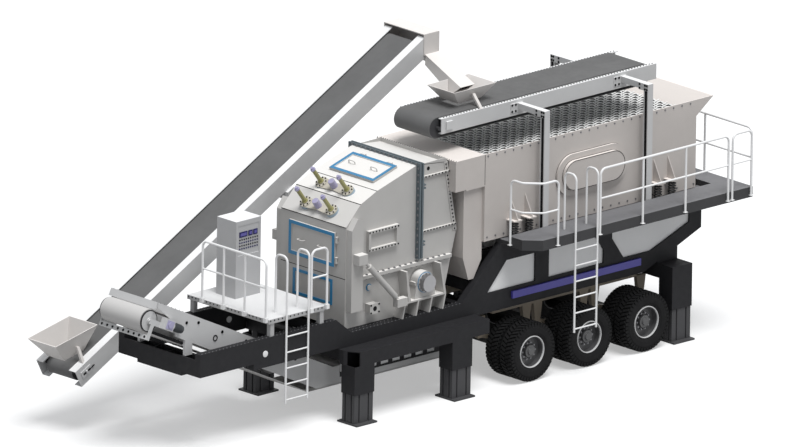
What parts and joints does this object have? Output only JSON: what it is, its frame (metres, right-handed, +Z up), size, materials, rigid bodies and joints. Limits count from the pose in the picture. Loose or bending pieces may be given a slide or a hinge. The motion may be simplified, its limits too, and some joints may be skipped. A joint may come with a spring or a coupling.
{
  "type": "mobile impact crusher",
  "caption": "Trailer-mounted impact crushing plant: closed rotor housing, overhead screen, inclined belt conveyors, walkways with railings and hydraulic support legs.",
  "frame": {"origin": "centre of the kingpin at the underside of the coupling plate, 1.4 m above the ground the plant stands on", "axes": "+X rearwards along the trailer from the kingpin, +Y towards the side that carries the return conveyor, +Z up"},
  "size_m": [13.7326, 4.257, 5.72],
  "materials": {
    "chassis_paint": "satin charcoal paint",
    "panel_paint": "satin light grey paint",
    "strip_paint": "satin violet-blue paint",
    "leg_steel": "satin dark paint",
    "tyre": "matt",
    "rim_paint": "satin grey paint",
    "axle_steel": "satin dark paint",
    "suspension_paint": "satin beige-brown paint",
    "platform_paint": "satin pale grey paint",
    "crusher_paint": "satin light grey paint",
    "door_paint": "satin blue paint",
    "rod_paint": "satin olive paint",
    "cylinder_paint": "satin lilac-grey paint",
    "rotor_steel": "worn",
    "screen_paint": "satin warm grey paint",
    "screen_mesh": "worn woven wire",
    "spring_steel": "satin",
    "deck_steel": "satin mid grey paint",
    "rail_paint": "satin light grey paint",
    "cabinet_paint": "satin light grey paint",
    "conveyor_paint": "satin grey paint",
    "belt_rubber": "matt",
    "drum_steel": "satin"
  },
  "bodies": {
    "plant": {"adjusting_rods": "rod_paint", "axles": "axle_steel", "base_cheeks": "crusher_paint", "base_ends": "crusher_paint", "bearing_housings": "crusher_paint", "chassis_cross_members": "chassis_paint", "control_cabinet": "cabinet_paint", "conveyor_belts": "belt_rubber", "conveyor_drums": "drum_steel", "conveyor_hoppers": "conveyor_paint", "corner_pillars": "crusher_paint", "crusher_back": "crusher_paint", "crusher_front": "crusher_paint", "crusher_roof": "crusher_paint", "crusher_side_walls": "crusher_paint", "feed_chute": "screen_paint", "front_frame": "chassis_paint", "housing_flange": "crusher_paint", "ladders": "rail_paint", "leg_sleeves": "chassis_paint", "lower_platform": "platform_paint", "main_conveyor_frame": "conveyor_paint", "main_girders": "chassis_paint", "opening_cylinders": "cylinder_paint", "outrigger_sills": "chassis_paint", "platform_railings": "rail_paint", "portal_frames": "conveyor_paint", "rear_beam": "chassis_paint", "return_conveyor_frame": "conveyor_paint", "return_conveyor_supports": "conveyor_paint", "screen_box": "screen_paint", "screen_deck": "screen_mesh", "screen_springs": "spring_steel", "side_strips": "strip_paint", "suspension": "suspension_paint", "top_conveyor_frame": "conveyor_paint", "walkway": "deck_steel", "walkway_railings": "rail_paint", "window_panels": "panel_paint"},
    "wheel_end_1_near": {"tyres_1_near": "tyre", "wheel_1_near": "rim_paint"},
    "wheel_end_1_far": {"tyres_1_far": "tyre", "wheel_1_far": "rim_paint"},
    "wheel_end_2_near": {"tyres_2_near": "tyre", "wheel_2_near": "rim_paint"},
    "wheel_end_2_far": {"tyres_2_far": "tyre", "wheel_2_far": "rim_paint"},
    "wheel_end_3_near": {"tyres_3_near": "tyre", "wheel_3_near": "rim_paint"},
    "wheel_end_3_far": {"tyres_3_far": "tyre", "wheel_3_far": "rim_paint"},
    "leg_front_near": {"leg_front_near": "leg_steel"},
    "leg_front_far": {"leg_front_far": "leg_steel"},
    "leg_middle_near": {"leg_middle_near": "leg_steel"},
    "leg_middle_far": {"leg_middle_far": "leg_steel"},
    "leg_rear_near": {"leg_rear_near": "leg_steel"},
    "leg_rear_far": {"leg_rear_far": "leg_steel"},
    "rotor": {"rotor": "rotor_steel"},
    "front_door": {"front_door": "door_paint"},
    "roof_hatch": {"roof_hatch": "door_paint"}
  },
  "joints": [
    {"name": "wheel_end_1_near_spin", "type": "hinge", "parent": "plant", "child": "wheel_end_1_near", "pos_m": [7.3, -1.165, -0.86], "axis": [0, 1, 0], "continuous": true},
    {"name": "wheel_end_1_far_spin", "type": "hinge", "parent": "plant", "child": "wheel_end_1_far", "pos_m": [7.3, 1.165, -0.86], "axis": [0, 1, 0], "continuous": true},
    {"name": "wheel_end_2_near_spin", "type": "hinge", "parent": "plant", "child": "wheel_end_2_near", "pos_m": [8.685, -1.165, -0.86], "axis": [0, 1, 0], "continuous": true},
    {"name": "wheel_end_2_far_spin", "type": "hinge", "parent": "plant", "child": "wheel_end_2_far", "pos_m": [8.685, 1.165, -0.86], "axis": [0, 1, 0], "continuous": true},
    {"name": "wheel_end_3_near_spin", "type": "hinge", "parent": "plant", "child": "wheel_end_3_near", "pos_m": [10.07, -1.165, -0.86], "axis": [0, 1, 0], "continuous": true},
    {"name": "wheel_end_3_far_spin", "type": "hinge", "parent": "plant", "child": "wheel_end_3_far", "pos_m": [10.07, 1.165, -0.86], "axis": [0, 1, 0], "continuous": true},
    {"name": "leg_front_near_slide", "type": "slide", "parent": "plant", "child": "leg_front_near", "axis": [0, 0, 1], "range_m": [-0.12, 0.38]},
    {"name": "leg_front_far_slide", "type": "slide", "parent": "plant", "child": "leg_front_far", "axis": [0, 0, 1], "range_m": [-0.12, 0.38]},
    {"name": "leg_middle_near_slide", "type": "slide", "parent": "plant", "child": "leg_middle_near", "axis": [0, 0, 1], "range_m": [-0.12, 0.38]},
    {"name": "leg_middle_far_slide", "type": "slide", "parent": "plant", "child": "leg_middle_far", "axis": [0, 0, 1], "range_m": [-0.12, 0.38]},
    {"name": "leg_rear_near_slide", "type": "slide", "parent": "plant", "child": "leg_rear_near", "axis": [0, 0, 1], "range_m": [-0.12, 0.38]},
    {"name": "leg_rear_far_slide", "type": "slide", "parent": "plant", "child": "leg_rear_far", "axis": [0, 0, 1], "range_m": [-0.12, 0.38]},
    {"name": "rotor_spin", "type": "hinge", "parent": "plant", "child": "rotor", "pos_m": [5.12, 0, 0.74], "axis": [0, 1, 0], "continuous": true},
    {"name": "front_door_hinge", "type": "hinge", "parent": "plant", "child": "front_door", "pos_m": [3.324, -0.614, 1.585], "axis": [0, 0, 1], "range_deg": [0, 85]},
    {"name": "roof_hatch_hinge", "type": "hinge", "parent": "plant", "child": "roof_hatch", "pos_m": [4.85385, 0, 2.82224], "axis": [0, 1, 0], "range_deg": [0, 100]}
  ]
}
